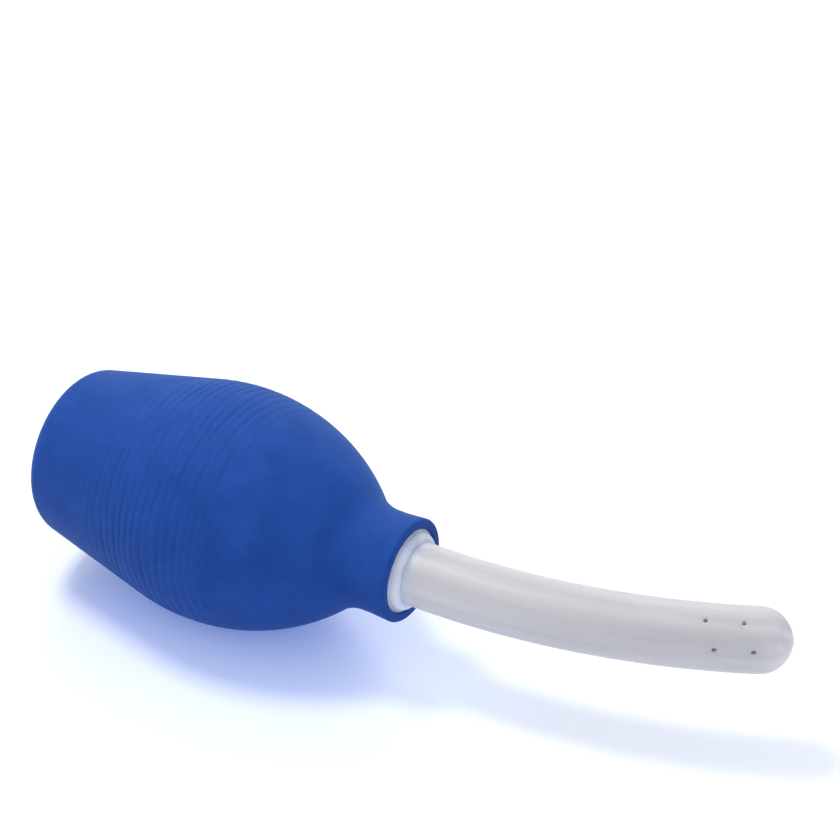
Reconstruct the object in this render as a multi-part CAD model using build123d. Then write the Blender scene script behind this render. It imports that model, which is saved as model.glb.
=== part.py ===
"""Bulb syringe: a squeezable rubber bulb with a long bent spray nozzle plugged into its neck.

Frame, in millimetres: the syringe lies on its belly. +X runs along the bulb's axis from the base
to the nozzle, +Z is up, and the origin is the centre of the small flat that the belly rests on.
Every piece is drawn about the bulb's axis (Z = 0 there) and lifted to its height at the end.
"""
from build123d import *
import math
import os

# Bulb, outside: a domed base, a cone, one long belly arc, and a short neck with a flared collar
BELLY_R = 35.0            # largest radius, at X = 0
BELLY_ARC_R = 64.0        # lengthwise radius of the belly
CONE_ANGLE = 12.5         # degrees between the rear cone and the axis
BASE_APEX_X = -59.4       # where the base dome would cross the axis
BASE_DOME_R = 54.0
BASE_CORNER_R = 6.5       # rounding between the base dome and the cone
BASE_FLAT_R = 15.0        # flat that the bulb can stand on
BASE_X = BASE_APEX_X + BASE_DOME_R - math.sqrt(BASE_DOME_R**2 - BASE_FLAT_R**2)
NECK_R = 14.8
NECK_FILLET_R = 13.2      # hollow curve from the belly into the neck
FLARE_X = 55.0            # the neck starts to flare here
COLLAR_R = 15.2
COLLAR_EDGE = 1.0         # rounding of the collar's outer edge
MOUTH_X = 62.1            # front face of the collar
MOUTH_EDGE = 0.4          # bevel of the collar's inner edge

# Bulb, inside
WALL = 3.5
BASE_WALL = 11.0          # thick base, a counterweight to the nozzle
FLOOR_BEVEL = 5.0         # bevel around the cavity's floor
STOP_X = 43.2             # inner rib that the neck bush comes to rest against
STOP_LENGTH = 1.4
STOP_R = 11.2
SETTLE = 1.4              # how far the belly flattens where it rests

# Neck bush: hard plastic sleeve that turns in the rubber neck
FIT = 0.05                # radial clearance between pieces that turn or slide
BUSH_R = 12.3             # bore of the rubber neck
BUSH_BORE_R = 10.2
BUSH_BEVEL = 0.6
RIDGE_X = 50.4            # ridge that keeps the bush in the neck
RIDGE_LENGTH = 2.4
RIDGE_HEIGHT = 0.6

# Nozzle: flange and spigot on the axis, then a closed, bent tube
FLANGE_LENGTH = 2.4
FLANGE_EDGE = 0.4
FLANGE_RECESS = 0.2       # how far the flange sits behind the collar's face
SPIGOT_REAR_X = 45.6
SPIGOT_BEVEL = 0.8
TUBE_R = 9.2
ROOT_FILLET = 2.2
LUMEN_R = 6.6
TUBE_STRAIGHT = 2.2       # straight stretch in front of the flange
TUBE_ARC_R = 200.5        # the tube's centre line bends sideways, towards +Y, on this radius
TUBE_LENGTH = 108.2       # centre line from the mouth to the end of the tip
TIP_WALL = 3.0
GATE_MARK_R = 1.2         # small raised moulding mark on the tip
GATE_MARK_HEIGHT = 0.2

# Spray holes: a block of four holes near the tip, and the same again half a turn away
HOLE_D = 1.4
HOLE_DISTANCES = (11.0, 21.0)   # of the first row's holes, from the end of the tip
HOLE_STAGGER = 2.7              # the second row sits this much further back
ROW_ANGLES = (15.0, 65.0)       # of the two rows, from the outer side of the bend towards +Z

# O-rings on the spigot
RING_SECTION_R = 0.9
RING_XS = (48.6, 54.6)    # rear and front ring
RING_NAMES = ("spigot_o_ring_rear", "spigot_o_ring_front")
GROOVE_PLAY = 0.1

AXIS_Z = BELLY_R - SETTLE


def revolved(profile):
    """Solid of revolution about the X axis from a closed profile drawn as (X, radius)."""
    return revolve(make_face(profile), axis=Axis.X)


def ring_profile(x_low, x_high, r_low, r_high):
    """Rectangle in the (X, radius) half-plane."""
    corners = [(x_low, r_low), (x_high, r_low), (x_high, r_high), (x_low, r_high), (x_low, r_low)]
    return Polyline(*corners)


def arc_about(centre, radius, start, end):
    """Arc between two points of a circle, by way of the point half-way between them."""
    middle = (start + end) * 0.5 - centre
    return ThreePointArc(start, centre + middle.normalized() * radius, end)


def bulb_outside():
    """Outer outline from the axis at the base to the collar's rounded edge."""
    slope = math.radians(CONE_ANGLE)
    along = Vector(math.cos(slope), math.sin(slope))
    outward = Vector(-math.sin(slope), math.cos(slope))
    belly_centre = Vector(0, BELLY_R - BELLY_ARC_R)
    dome_centre = Vector(BASE_APEX_X + BASE_DOME_R, 0)
    base_edge = Vector(BASE_X, BASE_FLAT_R)

    # The corner's centre lies on a line beside the cone, and on a circle inside the dome
    line_end = belly_centre + outward * (BELLY_ARC_R - BASE_CORNER_R)
    reach = line_end - dome_centre
    half = reach.dot(along)
    back = half + math.sqrt(half**2 - reach.dot(reach) + (BASE_DOME_R - BASE_CORNER_R) ** 2)
    corner_centre = line_end - along * back
    dome_end = dome_centre + (corner_centre - dome_centre).normalized() * BASE_DOME_R
    cone_start = corner_centre + outward * BASE_CORNER_R
    cone_end = belly_centre + outward * BELLY_ARC_R
    top = Vector(0, BELLY_R)

    # The neck's hollow touches the belly arc and the neck cylinder
    hollow_r = NECK_R + NECK_FILLET_R
    rise = hollow_r - belly_centre.Y
    hollow_centre = Vector(math.sqrt((BELLY_ARC_R + NECK_FILLET_R) ** 2 - rise**2), hollow_r)
    belly_end = belly_centre + (hollow_centre - belly_centre).normalized() * BELLY_ARC_R
    neck_start = Vector(hollow_centre.X, NECK_R)
    flare_start = Vector(FLARE_X, NECK_R)
    flare_end = Vector(MOUTH_X - COLLAR_EDGE, COLLAR_R)
    face_edge = Vector(MOUTH_X, COLLAR_R - COLLAR_EDGE)
    edge_centre = Vector(flare_end.X, face_edge.Y)
    return [
        Line(Vector(BASE_X, 0), base_edge),
        arc_about(dome_centre, BASE_DOME_R, base_edge, dome_end),
        arc_about(corner_centre, BASE_CORNER_R, dome_end, cone_start),
        Line(cone_start, cone_end),
        arc_about(belly_centre, BELLY_ARC_R, cone_end, top),
        arc_about(belly_centre, BELLY_ARC_R, top, belly_end),
        arc_about(hollow_centre, NECK_FILLET_R, belly_end, neck_start),
        Line(neck_start, flare_start),
        Line(flare_start, flare_end),
        arc_about(edge_centre, COLLAR_EDGE, flare_end, face_edge),
    ]


def bulb_cavity():
    """Hollow of the bulb, up to the rib that stops the neck bush."""
    slope = math.radians(CONE_ANGLE)
    belly_centre = Vector(0, BELLY_R - BELLY_ARC_R)
    belly_r = BELLY_ARC_R - WALL
    cone_end = belly_centre + Vector(-math.sin(slope), math.cos(slope)) * belly_r
    floor_x = BASE_X + BASE_WALL
    side_x = floor_x + FLOOR_BEVEL
    side = Vector(side_x, cone_end.Y + (side_x - cone_end.X) * math.tan(slope))
    top = Vector(0, BELLY_R - WALL)
    front = Vector(STOP_X, belly_centre.Y + math.sqrt(belly_r**2 - STOP_X**2))
    return revolved([
        Line(Vector(floor_x, 0), Vector(floor_x, side.Y - FLOOR_BEVEL)),
        Line(Vector(floor_x, side.Y - FLOOR_BEVEL), side),
        Line(side, cone_end),
        arc_about(belly_centre, belly_r, cone_end, top),
        arc_about(belly_centre, belly_r, top, front),
        Polyline(front, (STOP_X, 0), (floor_x, 0)),
    ])


def ridge_profile(play):
    """Rounded ridge around the bush, as (X, radius) curves; play widens it into its groove."""
    root_r = BUSH_R - 2 * FIT
    low = (RIDGE_X - RIDGE_LENGTH / 2 - play, root_r)
    peak = (RIDGE_X, BUSH_R + RIDGE_HEIGHT - FIT + play)
    high = (RIDGE_X + RIDGE_LENGTH / 2 + play, root_r)
    return [ThreePointArc(low, peak, high), Line(high, low)]


def bulb():
    """Rubber bulb with its neck and collar, flattened where the belly rests."""
    mouth = Line((MOUTH_X, COLLAR_R - COLLAR_EDGE), (MOUTH_X, 0))
    shell = revolved(bulb_outside() + [mouth, Line((MOUTH_X, 0), (BASE_X, 0))])
    shell -= bulb_cavity()
    shell -= revolved(ring_profile(STOP_X - 1, MOUTH_X, 0, STOP_R))
    shell -= revolved(ring_profile(STOP_X + STOP_LENGTH, MOUTH_X + 1, 0, BUSH_R))
    shell -= revolved(ridge_profile(2 * FIT))
    bevel = [(MOUTH_X - MOUTH_EDGE, BUSH_R), (MOUTH_X, BUSH_R + MOUTH_EDGE), (MOUTH_X, BUSH_R)]
    shell -= revolved(Polyline(*bevel, close=True))
    span = 2 * BELLY_R
    return shell - Pos(0, 0, -AXIS_Z - span / 2) * Box(2 * span, span, span)


def neck_bush():
    """Sleeve that keeps the neck round and carries the nozzle's spigot."""
    rear = STOP_X + STOP_LENGTH + FIT
    front = MOUTH_X - FLANGE_RECESS - FLANGE_LENGTH - FIT
    outer = BUSH_R - FIT
    outline = [
        (rear, BUSH_BORE_R),
        (rear, outer - BUSH_BEVEL),
        (rear + BUSH_BEVEL, outer),
        (front, outer),
        (front, BUSH_BORE_R + BUSH_BEVEL),
        (front - BUSH_BEVEL, BUSH_BORE_R),
    ]
    sleeve = revolved(Polyline(*outline, close=True))
    return sleeve + revolved(ridge_profile(0))


def o_ring(x):
    """Sealing ring about the axis at x, just clear of the bush's bore."""
    ring_r = BUSH_BORE_R - FIT / 2 - RING_SECTION_R
    return revolved(Pos(x, ring_r) * Circle(RING_SECTION_R).edge())


def station(length):
    """Point on the tube's centre line at a distance from the mouth, with its heading in radians."""
    heading = (length - TUBE_STRAIGHT) / TUBE_ARC_R
    x = MOUTH_X + TUBE_STRAIGHT + TUBE_ARC_R * math.sin(heading)
    return Vector(x, TUBE_ARC_R * (1 - math.cos(heading))), heading


def round_rod(start_x, radius, end_length):
    """Rod along the axis and the tube's bent centre line, with a half-round end."""
    end, heading = station(end_length - radius)
    straight = Line((start_x, 0), (MOUTH_X + TUBE_STRAIGHT, 0))
    bend = JernArc(straight @ 1, straight % 1, TUBE_ARC_R, math.degrees(heading))
    rod = sweep(Plane.YZ.offset(start_x) * Circle(radius), path=Wire([straight, bend]))
    return rod + Pos(end) * Sphere(radius)


def nozzle_root():
    """Flange, root fillet and grooved spigot, all about the bulb's axis."""
    front = MOUTH_X - FLANGE_RECESS
    rear = front - FLANGE_LENGTH
    flange_r = BUSH_R - FIT
    spigot_r = BUSH_BORE_R - FIT
    fillet_end = (front + ROOT_FILLET, TUBE_R)
    fillet_start = (front, TUBE_R + ROOT_FILLET)
    curves = [
        Polyline(
            (SPIGOT_REAR_X, 0),
            (SPIGOT_REAR_X, spigot_r - SPIGOT_BEVEL),
            (SPIGOT_REAR_X + SPIGOT_BEVEL, spigot_r),
            (rear, spigot_r),
            (rear, flange_r),
            (front - FLANGE_EDGE, flange_r),
            (front, flange_r - FLANGE_EDGE),
            fillet_start,
        ),
        RadiusArc(fillet_start, fillet_end, ROOT_FILLET),
        Polyline(fillet_end, (fillet_end[0], 0), (SPIGOT_REAR_X, 0)),
    ]
    root = revolved(curves)
    half = RING_SECTION_R + GROOVE_PLAY
    floor_r = BUSH_BORE_R - FIT / 2 - 2 * RING_SECTION_R - GROOVE_PLAY / 5
    for x in RING_XS:
        root -= revolved(ring_profile(x - half, x + half, floor_r, BUSH_BORE_R))
    return root


def spray_hole(tip_distance, angle):
    """Radial drill from inside the tube out through its wall."""
    centre, heading = station(TUBE_LENGTH - tip_distance)
    outer_side = Vector(math.sin(heading), -math.cos(heading))
    turn = math.radians(angle)
    outward = outer_side * math.cos(turn) + Vector(0, 0, math.sin(turn))
    start = centre + outward * (LUMEN_R / 2)
    drill = Cylinder(HOLE_D / 2, TUBE_R, align=(Align.CENTER, Align.CENTER, Align.MIN))
    return Plane(start, z_dir=outward) * drill


def spray_holes():
    """Both blocks of holes: two staggered rows in each."""
    drills = []
    for row, angle in enumerate(ROW_ANGLES):
        for distance in HOLE_DISTANCES:
            back = distance + row * HOLE_STAGGER
            drills += [spray_hole(back, angle), spray_hole(back, angle + 180)]
    return drills


def gate_mark():
    """Low round stub on the end of the tip, where the moulding was fed."""
    end, heading = station(TUBE_LENGTH - TUBE_R)
    ahead = Vector(math.cos(heading), math.sin(heading))
    low = (Align.CENTER, Align.CENTER, Align.MIN)
    stub = Cylinder(GATE_MARK_R, TIP_WALL / 2 + GATE_MARK_HEIGHT, align=low)
    return Plane(end + ahead * (TUBE_R - TIP_WALL / 2), z_dir=ahead) * stub


def nozzle():
    """One moulding: spigot, flange and closed bent tube with its lumen and spray holes."""
    solid = nozzle_root() + round_rod(MOUTH_X - 1, TUBE_R, TUBE_LENGTH) + gate_mark()
    solid -= round_rod(SPIGOT_REAR_X - 1, LUMEN_R, TUBE_LENGTH - TIP_WALL)
    for drill in spray_holes():
        solid -= drill
    return solid


def save(name, piece):
    """Lift a piece to the axis height and write it as one STEP file."""
    export_step(Pos(0, 0, AXIS_Z) * piece, f"parts/{name}.step")


def main():
    os.makedirs("parts", exist_ok=True)
    save("bulb", bulb())
    save("neck_bush", neck_bush())
    save("nozzle", nozzle())
    for name, x in zip(RING_NAMES, RING_XS):
        save(name, o_ring(x))


main()
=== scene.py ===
"""Looks for a rubber bulb syringe: a blue rubber bulb, a milky nozzle, and the seals in its neck."""
import math

import bpy
import numpy as np
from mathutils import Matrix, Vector


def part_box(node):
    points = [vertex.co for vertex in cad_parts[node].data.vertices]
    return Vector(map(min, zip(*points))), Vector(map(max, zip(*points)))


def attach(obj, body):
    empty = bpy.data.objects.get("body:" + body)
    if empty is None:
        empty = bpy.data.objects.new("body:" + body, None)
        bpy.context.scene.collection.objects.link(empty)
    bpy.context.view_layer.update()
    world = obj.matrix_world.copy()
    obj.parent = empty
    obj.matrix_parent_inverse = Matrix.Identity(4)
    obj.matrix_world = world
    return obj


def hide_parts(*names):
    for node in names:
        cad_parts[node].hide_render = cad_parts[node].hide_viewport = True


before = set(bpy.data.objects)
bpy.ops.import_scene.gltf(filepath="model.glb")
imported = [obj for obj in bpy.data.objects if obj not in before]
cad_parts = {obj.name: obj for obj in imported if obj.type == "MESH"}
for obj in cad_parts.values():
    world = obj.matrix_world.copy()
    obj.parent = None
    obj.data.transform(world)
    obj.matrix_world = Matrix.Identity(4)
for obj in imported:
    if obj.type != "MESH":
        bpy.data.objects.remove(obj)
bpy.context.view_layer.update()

MM = 0.001

# The bulb's place and main sizes come from its box
BULB_LOW, BULB_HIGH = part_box("bulb")
BELLY_R = BULB_HIGH.y
AXIS_Z = BULB_HIGH.z - BELLY_R
BASE_X = BULB_LOW.x
MOUTH_X = BULB_HIGH.x

# The curves of the bulb's outline
BELLY_ARC_R = 64 * MM
CONE_ANGLE = math.radians(12.5)
BASE_FLAT_R = 15 * MM
BASE_DOME_R = 54 * MM
BASE_CORNER_R = 6.5 * MM
NECK_R = 14.8 * MM
NECK_FILLET_R = 13.2 * MM
FLARE_X = 55 * MM
COLLAR_R = 15.2 * MM
COLLAR_EDGE = 1.0 * MM
MOUTH_R = 12.3 * MM
MOUTH_EDGE = 0.4 * MM
WALL = 3.5 * MM
FLOOR_X = BASE_X + 11 * MM
FLOOR_BEVEL = 5 * MM
GROOVE_X = 50.4 * MM      # groove in the neck's bore, which holds the bush's ridge
GROOVE_HALF = 1.4 * MM
GROOVE_DEPTH = 0.62 * MM
STOP_X = 43.2 * MM
STOP_LENGTH = 1.4 * MM
STOP_R = 11.2 * MM

# Fine grooves around the bulb, behind its widest circle
RING_PITCH = 2.75 * MM
RING_DEPTH = 0.30 * MM
RINGS_FROM = -35 * MM
RINGS_TO = 22 * MM
RINGS_FADE = 16 * MM

# The nozzle's tube: its bend, and the painted light tones around it (a painted highlight band,
# painted shade on top, a lightened underside), starting and ending on the inner side
BEND_X = MOUTH_X + 2.2 * MM
BEND_R = 200.5 * MM
TUBE_PAINTED_LIGHT = [
    (0.00, 0.96),
    (0.20, 1.00),
    (0.34, 1.14),
    (0.46, 1.24),
    (0.54, 1.15),
    (0.61, 1.07),
    (0.655, 1.15),
    (0.70, 0.90),
    (0.76, 0.90),
    (1.00, 0.96),
]
STREAK_SCALES = (260.0, 260.0, 12.0)    # across, up and along, in 1/metres
PAINTED_GLOW_LENGTH = 7.0 * MM    # how far the painted blue glow of the neck reaches along the milky tube

# The floor's painted blue glow under the bulb: emission standing in for blue bounce light in its
# shadow
GLOW_CENTRE = (0.02, -0.02, 0.0)
GLOW_NEAR = 40 * MM
GLOW_FAR = 100 * MM
GLOW_MOST = 0.38
GLOW_LEAST = 0.12

TURNS = 224               # mesh segments around the bulb
SHARP_ANGLE = math.radians(35)
FINE_STEP = 0.19 * MM     # mesh step along the rings
COARSE_STEP = 1.0 * MM


# ---------------------------------------------------------------- materials

def new_material(name):
    """A new material, its node tree and its Principled shader."""
    material = bpy.data.materials.new(name)
    material.use_nodes = True
    return material, material.node_tree, material.node_tree.nodes["Principled BSDF"]


def add_node(tree, kind, **values):
    """A new node; each value is one of its settings or, failing that, one of its inputs."""
    node = tree.nodes.new(kind)
    for key, value in values.items():
        if hasattr(node, key):
            setattr(node, key, value)
        else:
            node.inputs[key].default_value = value
    return node


def own_place(tree):
    """Position in the piece's own coordinates, so that a pattern rides with the piece."""
    return add_node(tree, "ShaderNodeTexCoord").outputs["Object"]


def own_axes(tree):
    """The x, y and z of that position."""
    parts = add_node(tree, "ShaderNodeSeparateXYZ")
    tree.links.new(own_place(tree), parts.inputs["Vector"])
    return parts.outputs


def noise(tree, scale, detail=3.0, roughness=0.55):
    """Noise that rides with the piece; scale is in 1/metres."""
    node = add_node(tree, "ShaderNodeTexNoise", Scale=scale, Detail=detail, Roughness=roughness)
    tree.links.new(own_place(tree), node.inputs["Vector"])
    return node.outputs["Fac"]


def ramp(tree, source, stops):
    """Colour ramp over a value; stops are (position, colour)."""
    node = add_node(tree, "ShaderNodeValToRGB")
    while len(node.color_ramp.elements) < len(stops):
        node.color_ramp.elements.new(0.5)
    for element, (position, colour) in zip(node.color_ramp.elements, stops):
        element.position = position
        element.color = (*colour, 1.0)
    tree.links.new(source, node.inputs["Fac"])
    return node.outputs["Color"]


def spread(tree, source, low, high):
    """Map a 0 to 1 value onto low to high."""
    node = add_node(tree, "ShaderNodeMapRange")
    node.inputs["To Min"].default_value = low
    node.inputs["To Max"].default_value = high
    tree.links.new(source, node.inputs["Value"])
    return node.outputs["Result"]


def ease(tree, source, start, end, first, last):
    """Ease from the first value to the last as the source goes from start to end."""
    node = add_node(tree, "ShaderNodeMapRange", interpolation_type="SMOOTHSTEP")
    for name, value in (("From Min", start), ("From Max", end), ("To Min", first), ("To Max", last)):
        node.inputs[name].default_value = value
    tree.links.new(source, node.inputs["Value"])
    return node.outputs["Result"]


def math_node(tree, operation, first, second):
    """One arithmetic step; each operand is a socket or a number."""
    node = add_node(tree, "ShaderNodeMath", operation=operation)
    for socket, operand in zip(node.inputs, (first, second)):
        if isinstance(operand, (int, float)):
            socket.default_value = operand
        else:
            tree.links.new(operand, socket)
    return node.outputs["Value"]


def bump(tree, layers):
    """Stack of bumps; each layer is (height source, depth in metres, strength)."""
    normal = None
    for source, depth, strength in layers:
        node = add_node(tree, "ShaderNodeBump", Strength=strength, Distance=depth)
        tree.links.new(source, node.inputs["Height"])
        if normal is not None:
            tree.links.new(normal, node.inputs["Normal"])
        normal = node.outputs["Normal"]
    return normal


def blue_rubber():
    """Matte moulded rubber: cloudy blue, chalky bloom, and a fine grain."""
    material, tree, shader = new_material("blue_rubber")
    cloud = noise(tree, 90.0, 5.0, 0.65)
    blue = ramp(tree, cloud, [
        (0.30, (0.0048, 0.037, 0.202)),
        (0.50, (0.0062, 0.043, 0.226)),
        (0.72, (0.0085, 0.050, 0.256)),
    ])
    tree.links.new(blue, shader.inputs["Base Color"])
    tree.links.new(spread(tree, noise(tree, 420.0), 0.62, 0.80), shader.inputs["Roughness"])
    grain = [
        (noise(tree, 900.0, 4.0), 0.05 * MM, 0.35),
        (noise(tree, 4200.0, 2.0), 0.02 * MM, 0.40),
    ]
    tree.links.new(bump(tree, grain), shader.inputs["Normal"])
    shader.inputs["Specular IOR Level"].default_value = 0.12
    shader.inputs["Sheen Weight"].default_value = 0.09
    shader.inputs["Sheen Roughness"].default_value = 0.45
    shader.inputs["Sheen Tint"].default_value = (0.20, 0.55, 1.0, 1.0)
    return material


def tube_places(tree):
    """Where a point is on the bent tube: offset away from the bend, height, and x along it."""
    axes = own_axes(tree)
    from_centre_x = math_node(tree, "SUBTRACT", axes["X"], BEND_X)
    from_centre_y = math_node(tree, "SUBTRACT", axes["Y"], BEND_R)
    squares = math_node(
        tree, "ADD",
        math_node(tree, "POWER", from_centre_x, 2),
        math_node(tree, "POWER", from_centre_y, 2),
    )
    outward = math_node(tree, "SUBTRACT", math_node(tree, "SQRT", squares, 0), BEND_R)
    height = math_node(tree, "SUBTRACT", axes["Z"], AXIS_Z)
    return outward, height, axes["X"]


def tube_painted_light_and_flow_marks(tree):
    """Painted light around the tube as lengthwise tone bands: a painted highlight band above the
    middle, painted shade along the top and a lightened underside; and flow marks.
    """
    outward, height, along = tube_places(tree)
    angle = math_node(tree, "ARCTAN2", height, outward)
    turn = spread(tree, math_node(tree, "DIVIDE", angle, 2 * math.pi), 0.5, 1.5)
    # Painted light: these tones lighten the underside, add a highlight band above the middle and
    # shade the top.
    bands = ramp(tree, turn, [(share, (tone, tone, tone)) for share, tone in TUBE_PAINTED_LIGHT])
    streaks = add_node(tree, "ShaderNodeTexNoise", Scale=1.0, Detail=2.0, Roughness=0.5)
    stretched = add_node(tree, "ShaderNodeCombineXYZ")
    for socket, source, scale in zip(stretched.inputs, (outward, height, along), STREAK_SCALES):
        tree.links.new(math_node(tree, "MULTIPLY", source, scale), socket)
    tree.links.new(stretched.outputs["Vector"], streaks.inputs["Vector"])
    return bands, streaks.outputs["Fac"]


def flange_painted_glow_share(tree):
    """Share of the painted blue glow: 1 on the nozzle's flange, falling to 0 a little way along the
    tube.
    """
    return ease(tree, own_axes(tree)["X"], MOUTH_X, MOUTH_X + PAINTED_GLOW_LENGTH, 1.0, 0.0)


def milky_plastic():
    """Translucent milky plastic with soft flow marks, painted highlight and shade bands along the
    tube, and a painted blue glow from the neck that brightens its flange.
    """
    material, tree, shader = new_material("milky_plastic")
    bands, streaks = tube_painted_light_and_flow_marks(tree)
    milk = ramp(tree, streaks, [
        (0.34, (0.372, 0.358, 0.384)),
        (0.66, (0.436, 0.422, 0.447)),
    ])
    # The painted light bands are multiplied into the milky colour.
    banded = add_node(tree, "ShaderNodeMix", data_type="RGBA", blend_type="MULTIPLY")
    banded.inputs["Factor"].default_value = 1.0
    tree.links.new(milk, banded.inputs["A"])
    tree.links.new(bands, banded.inputs["B"])
    # Painted light: the flange is brightened and blued, standing in for blue light from the neck.
    tint = add_node(tree, "ShaderNodeMix", data_type="RGBA", blend_type="MULTIPLY")
    tint.inputs["B"].default_value = (1.22, 1.34, 1.62, 1.0)
    tree.links.new(banded.outputs["Result"], tint.inputs["A"])
    tree.links.new(flange_painted_glow_share(tree), tint.inputs["Factor"])
    tree.links.new(tint.outputs["Result"], shader.inputs["Base Color"])
    tree.links.new(spread(tree, noise(tree, 300.0), 0.40, 0.54), shader.inputs["Roughness"])
    marks = [
        (streaks, 0.05 * MM, 0.20),
        (noise(tree, 2600.0, 2.0), 0.01 * MM, 0.25),
    ]
    tree.links.new(bump(tree, marks), shader.inputs["Normal"])
    shader.inputs["Subsurface Weight"].default_value = 1.0
    shader.inputs["Subsurface Radius"].default_value = (1.0, 0.9, 1.0)
    shader.inputs["Subsurface Scale"].default_value = 12 * MM
    shader.inputs["Specular IOR Level"].default_value = 0.32
    shader.inputs["Coat Weight"].default_value = 0.06
    shader.inputs["Coat Roughness"].default_value = 0.35
    return material


def white_plastic():
    """Hard white plastic of the neck bush, with painted blue bounce light from the rubber around it
    mixed into its white.
    """
    material, tree, shader = new_material("white_plastic")
    # Its white is partly painted light: the blue in it stands for light bounced from the blue
    # rubber.
    tone = ramp(tree, noise(tree, 90.0), [
        (0.30, (0.72, 0.80, 0.94)),
        (0.70, (0.78, 0.85, 0.98)),
    ])
    tree.links.new(tone, shader.inputs["Base Color"])
    tree.links.new(spread(tree, noise(tree, 700.0), 0.35, 0.50), shader.inputs["Roughness"])
    tree.links.new(bump(tree, [(noise(tree, 1500.0), 0.02 * MM, 0.3)]), shader.inputs["Normal"])
    return material


def seal_rubber():
    """Black nitrile rubber of the sealing rings."""
    material, tree, shader = new_material("seal_rubber")
    tone = ramp(tree, noise(tree, 400.0), [
        (0.30, (0.012, 0.012, 0.013)),
        (0.70, (0.024, 0.024, 0.026)),
    ])
    tree.links.new(tone, shader.inputs["Base Color"])
    tree.links.new(spread(tree, noise(tree, 1200.0), 0.32, 0.50), shader.inputs["Roughness"])
    tree.links.new(bump(tree, [(noise(tree, 5000.0), 0.01 * MM, 0.4)]), shader.inputs["Normal"])
    return material


def floor_paint():
    """Pale floor with a broad gloss and a painted blue glow: it emits blue light, most near the
    bulb, which lightens and blues the bulb's shadow.
    """
    material, tree, shader = new_material("floor_paint")
    tone = ramp(tree, noise(tree, 3.0), [
        (0.30, (0.64, 0.64, 0.64)),
        (0.70, (0.66, 0.66, 0.66)),
    ])
    tree.links.new(tone, shader.inputs["Base Color"])
    tree.links.new(spread(tree, noise(tree, 40.0), 0.30, 0.34), shader.inputs["Roughness"])
    shader.inputs["Specular IOR Level"].default_value = 0.6
    # Painted light: blue emission, strongest near the bulb and weaker further out.
    distance = add_node(tree, "ShaderNodeVectorMath", operation="DISTANCE")
    distance.inputs[1].default_value = GLOW_CENTRE
    tree.links.new(own_place(tree), distance.inputs[0])
    glow = ease(tree, distance.outputs["Value"], GLOW_NEAR, GLOW_FAR, GLOW_MOST, GLOW_LEAST)
    tree.links.new(glow, shader.inputs["Emission Strength"])
    shader.inputs["Emission Color"].default_value = (0.17, 0.34, 1.0, 1.0)
    return material


# ---------------------------------------------------------------- bulb

def arc(centre, radius, start, end, step):
    """Points along the shorter arc from start to end about a centre."""
    a = math.atan2(start[1] - centre[1], start[0] - centre[0])
    b = math.atan2(end[1] - centre[1], end[0] - centre[0])
    turn = (b - a + math.pi) % (2 * math.pi) - math.pi
    count = max(3, math.ceil(abs(turn) * radius / step))
    angles = a + turn * np.arange(count + 1) / count
    return np.stack([centre[0] + radius * np.cos(angles), centre[1] + radius * np.sin(angles)], 1)


def line(start, end, step):
    """Evenly spaced points from start to end."""
    start, end = np.array(start), np.array(end)
    count = max(1, math.ceil(np.linalg.norm(end - start) / step))
    return start + (end - start) * (np.arange(count + 1) / count)[:, None]


def towards(start, end, distance):
    """Point at a distance from start in the direction of end."""
    start, end = np.array(start), np.array(end)
    return start + (end - start) / np.linalg.norm(end - start) * distance


def outside_points():
    """Outline (x, radius) from the base flat to the collar's face, in tangent arcs."""
    along = np.array([math.cos(CONE_ANGLE), math.sin(CONE_ANGLE)])
    outward = np.array([-along[1], along[0]])
    belly = np.array([0.0, BELLY_R - BELLY_ARC_R])
    dome = np.array([BASE_X + math.sqrt(BASE_DOME_R**2 - BASE_FLAT_R**2), 0.0])
    reach = belly + outward * (BELLY_ARC_R - BASE_CORNER_R) - dome
    half = reach @ along
    back = half + math.sqrt(half**2 - reach @ reach + (BASE_DOME_R - BASE_CORNER_R) ** 2)
    corner = dome + reach - along * back
    dome_end = towards(dome, corner, BASE_DOME_R)
    cone_start = corner + outward * BASE_CORNER_R
    cone_end = belly + outward * BELLY_ARC_R
    hollow_r = NECK_R + NECK_FILLET_R
    hollow_x = math.sqrt((BELLY_ARC_R + NECK_FILLET_R) ** 2 - (hollow_r - belly[1]) ** 2)
    belly_end = towards(belly, (hollow_x, hollow_r), BELLY_ARC_R)
    rings_end = (RINGS_TO, belly[1] + math.sqrt(BELLY_ARC_R**2 - RINGS_TO**2))
    edge = (MOUTH_X - COLLAR_EDGE, COLLAR_R - COLLAR_EDGE)
    return [
        line((BASE_X, 0), (BASE_X, BASE_FLAT_R), COARSE_STEP),
        arc(dome, BASE_DOME_R, (BASE_X, BASE_FLAT_R), dome_end, COARSE_STEP),
        arc(corner, BASE_CORNER_R, dome_end, cone_start, COARSE_STEP / 2),
        line(cone_start, cone_end, FINE_STEP),
        arc(belly, BELLY_ARC_R, cone_end, rings_end, FINE_STEP),
        arc(belly, BELLY_ARC_R, rings_end, belly_end, COARSE_STEP),
        arc((hollow_x, hollow_r), NECK_FILLET_R, belly_end, (hollow_x, NECK_R), COARSE_STEP / 2),
        line((hollow_x, NECK_R), (FLARE_X, NECK_R), COARSE_STEP),
        line((FLARE_X, NECK_R), (MOUTH_X - COLLAR_EDGE, COLLAR_R), COARSE_STEP),
        arc(edge, COLLAR_EDGE, (edge[0], COLLAR_R), (MOUTH_X, edge[1]), COARSE_STEP / 8),
        line((MOUTH_X, edge[1]), (MOUTH_X, MOUTH_R + MOUTH_EDGE), COARSE_STEP),
    ]


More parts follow.
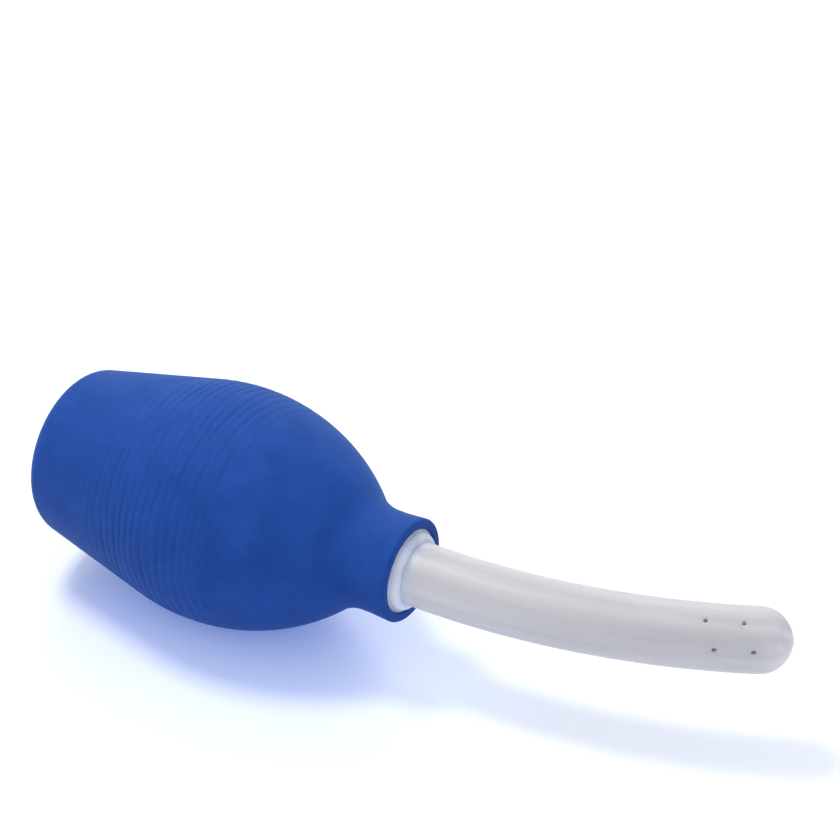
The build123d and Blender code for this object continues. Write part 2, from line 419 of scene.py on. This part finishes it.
def inside_points():
    """Outline of the mouth, neck bore and cavity, back to the axis at the cavity's floor."""
    slope = math.tan(CONE_ANGLE)
    belly = np.array([0.0, BELLY_R - BELLY_ARC_R])
    inner_r = BELLY_ARC_R - WALL
    cone_end = belly + np.array([-math.sin(CONE_ANGLE), math.cos(CONE_ANGLE)]) * inner_r
    side_x = FLOOR_X + FLOOR_BEVEL
    side = (side_x, cone_end[1] + (side_x - cone_end[0]) * slope)
    front = (STOP_X, belly[1] + math.sqrt(inner_r**2 - STOP_X**2))
    bore_rear = STOP_X + STOP_LENGTH
    across = np.linspace(1, -1, 15)
    groove_x = GROOVE_X + GROOVE_HALF * across
    return [
        line((MOUTH_X, MOUTH_R + MOUTH_EDGE), (MOUTH_X - MOUTH_EDGE, MOUTH_R), COARSE_STEP),
        line((MOUTH_X - MOUTH_EDGE, MOUTH_R), (GROOVE_X + GROOVE_HALF, MOUTH_R), COARSE_STEP),
        np.stack([groove_x, MOUTH_R + GROOVE_DEPTH * np.sqrt(1 - across**2)], 1),
        line((GROOVE_X - GROOVE_HALF, MOUTH_R), (bore_rear, MOUTH_R), COARSE_STEP),
        line((bore_rear, MOUTH_R), (bore_rear, STOP_R), COARSE_STEP),
        line((bore_rear, STOP_R), (STOP_X, STOP_R), COARSE_STEP),
        line((STOP_X, STOP_R), front, COARSE_STEP),
        arc(belly, inner_r, front, cone_end, COARSE_STEP),
        line(cone_end, side, COARSE_STEP),
        line(side, (FLOOR_X, side[1] - FLOOR_BEVEL), COARSE_STEP),
        line((FLOOR_X, side[1] - FLOOR_BEVEL), (FLOOR_X, 0), COARSE_STEP),
    ]


def chain(stretches):
    """Join stretches of points end to end, without repeating the shared ones."""
    return np.concatenate([stretches[0]] + [stretch[1:] for stretch in stretches[1:]])


def ring_depth(x, angle):
    """Depth of the grooves around the skin: wavering, patchy, and fading out at both ends."""
    fade_in = np.clip((x - RINGS_FROM) / RINGS_FADE, 0, 1)
    fade_out = np.clip((RINGS_TO - x) / RINGS_FADE, 0, 1)
    phase = 2 * math.pi * x / RING_PITCH
    waver = 0.9 * np.sin(2 * angle + phase / 11) + 0.7 * np.sin(5 * angle - phase / 7)
    patches = 0.62 + 0.38 * np.sin(3 * angle + phase / 5.3) * np.sin(7 * angle - phase / 3.1)
    valley = (0.5 + 0.5 * np.cos(phase + waver)) ** 2
    return RING_DEPTH * (fade_in * fade_out) * patches * valley


def bulb_mesh():
    """Closed solid of revolution with rings on it, flat where the belly rests."""
    outside = chain(outside_points())
    inside = chain(inside_points())
    profile = np.concatenate([outside[1:], inside[1:-1]])
    ringed = np.arange(len(profile)) < len(outside) - 1
    angles = 2 * math.pi * np.arange(TURNS) / TURNS
    x = np.repeat(profile[:, 0], TURNS)
    radius = np.repeat(profile[:, 1], TURNS)
    angle = np.tile(angles, len(profile))
    on_outside = np.repeat(ringed, TURNS) & (radius > BASE_FLAT_R)
    radius = radius - np.where(on_outside, ring_depth(x, angle), 0)
    z = np.maximum(AXIS_Z + radius * np.cos(angle), 0)
    points = np.stack([x, radius * np.sin(angle), z], 1)
    rows = len(profile)
    base, floor = rows * TURNS, rows * TURNS + 1
    points = np.concatenate([points, [(BASE_X, 0, AXIS_Z), (FLOOR_X, 0, AXIS_Z)]])
    faces = []
    for row in range(rows - 1):
        for turn in range(TURNS):
            beside = (turn + 1) % TURNS
            here, there = row * TURNS, (row + 1) * TURNS
            faces.append((here + turn, there + turn, there + beside, here + beside))
    last = (rows - 1) * TURNS
    for turn in range(TURNS):
        beside = (turn + 1) % TURNS
        faces.append((base, turn, beside))
        faces.append((floor, last + beside, last + turn))
    mesh = bpy.data.meshes.new("bulb_skin")
    mesh.from_pydata(points.tolist(), [], faces)
    mesh.validate()
    mesh.polygons.foreach_set("use_smooth", [True] * len(mesh.polygons))
    mesh.set_sharp_from_angle(angle=SHARP_ANGLE)
    return mesh


def make_bulb():
    """The rubber bulb, which stands for the CAD bulb."""
    bulb = bpy.data.objects.new("bulb_skin", bulb_mesh())
    bpy.context.scene.collection.objects.link(bulb)
    bulb.data.materials.append(blue_rubber())
    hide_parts("bulb")
    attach(bulb, "bulb")
    return bulb


# ---------------------------------------------------------------- other pieces

def dress(node, material):
    """Give a CAD node its own material."""
    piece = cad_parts[node]
    piece.data.materials.clear()
    piece.data.materials.append(material)


def dress_cad_nodes():
    """Materials for the pieces whose CAD shape shows as it is."""
    dress("nozzle", milky_plastic())
    dress("neck_bush", white_plastic())
    seal = seal_rubber()
    for node in ("spigot_o_ring_rear", "spigot_o_ring_front"):
        dress(node, seal)


# ---------------------------------------------------------------- studio

FLOOR_SIZE = 6.0
FLOOR_DROP = 0.05 * MM    # keeps the floor clear of the face that rests on it
CAMERA_AZIMUTH = math.radians(31.88)
CAMERA_ELEVATION = math.radians(33.16)
CAMERA_DISTANCE = 0.7
CAMERA_LENS = 112.57      # millimetres
SENSOR_WIDTH = 36.0       # millimetres
CAMERA_TARGET = Vector((BULB_HIGH.x + 2.67 * MM, 0, AXIS_Z + 51.1 * MM))
LIT_CENTRE = (0.05, 0, 0.03)
WARM = (1.0, 0.965, 0.91)
COOL = (0.88, 0.94, 1.0)
SURROUND = (0.93, 0.965, 1.0, 1.0)


def make_floor():
    """Wide pale floor under the syringe."""
    half = FLOOR_SIZE / 2
    mesh = bpy.data.meshes.new("floor")
    corners = [(-half, -half, 0), (half, -half, 0), (half, half, 0), (-half, half, 0)]
    mesh.from_pydata(corners, [], [(0, 1, 2, 3)])
    floor = bpy.data.objects.new("floor", mesh)
    floor.location.z = -FLOOR_DROP
    bpy.context.scene.collection.objects.link(floor)
    mesh.materials.append(floor_paint())


def make_camera():
    """Camera looking down from the front and the nozzle's end, aimed above the syringe."""
    back = Vector((
        math.sin(CAMERA_AZIMUTH) * math.cos(CAMERA_ELEVATION),
        -math.cos(CAMERA_AZIMUTH) * math.cos(CAMERA_ELEVATION),
        math.sin(CAMERA_ELEVATION),
    ))
    data = bpy.data.cameras.new("camera")
    data.lens = CAMERA_LENS
    data.sensor_width = SENSOR_WIDTH
    data.clip_start = 0.01
    data.clip_end = 20.0
    camera = bpy.data.objects.new("camera", data)
    bpy.context.scene.collection.objects.link(camera)
    camera.location = CAMERA_TARGET + back * CAMERA_DISTANCE
    camera.rotation_mode = "QUATERNION"
    camera.rotation_quaternion = (-back).to_track_quat("-Z", "Y")
    bpy.context.scene.camera = camera


def area_light(name, place, size, power, colour=(1, 1, 1)):
    """Square soft light at a place, facing the syringe."""
    data = bpy.data.lights.new(name, "AREA")
    data.shape = "SQUARE"
    data.size = size
    data.energy = power
    data.color = colour
    light = bpy.data.objects.new(name, data)
    bpy.context.scene.collection.objects.link(light)
    light.location = place
    direction = Vector(LIT_CENTRE) - Vector(place)
    light.rotation_mode = "QUATERNION"
    light.rotation_quaternion = direction.to_track_quat("-Z", "Y")


def make_lights():
    """Key light overhead, soft lights behind, in front and at the tip, and a white surround."""
    area_light("overhead", (-0.34, 0.02, 0.95), 0.26, 6.5, WARM)
    area_light("rear", (-0.30, 0.88, 0.55), 0.7, 2.9)
    area_light("fill", (-0.45, -0.75, 0.24), 0.4, 0.9, COOL)
    area_light("side", (0.9, -0.25, 0.35), 0.5, 1.6, COOL)
    world = bpy.data.worlds.new("surround")
    bpy.context.scene.world = world
    world.use_nodes = True
    background = world.node_tree.nodes["Background"]
    background.inputs["Color"].default_value = SURROUND
    background.inputs["Strength"].default_value = 1.04
    bpy.context.scene.view_settings.view_transform = "Standard"


make_camera()
make_floor()
make_lights()
make_bulb()
dress_cad_nodes()
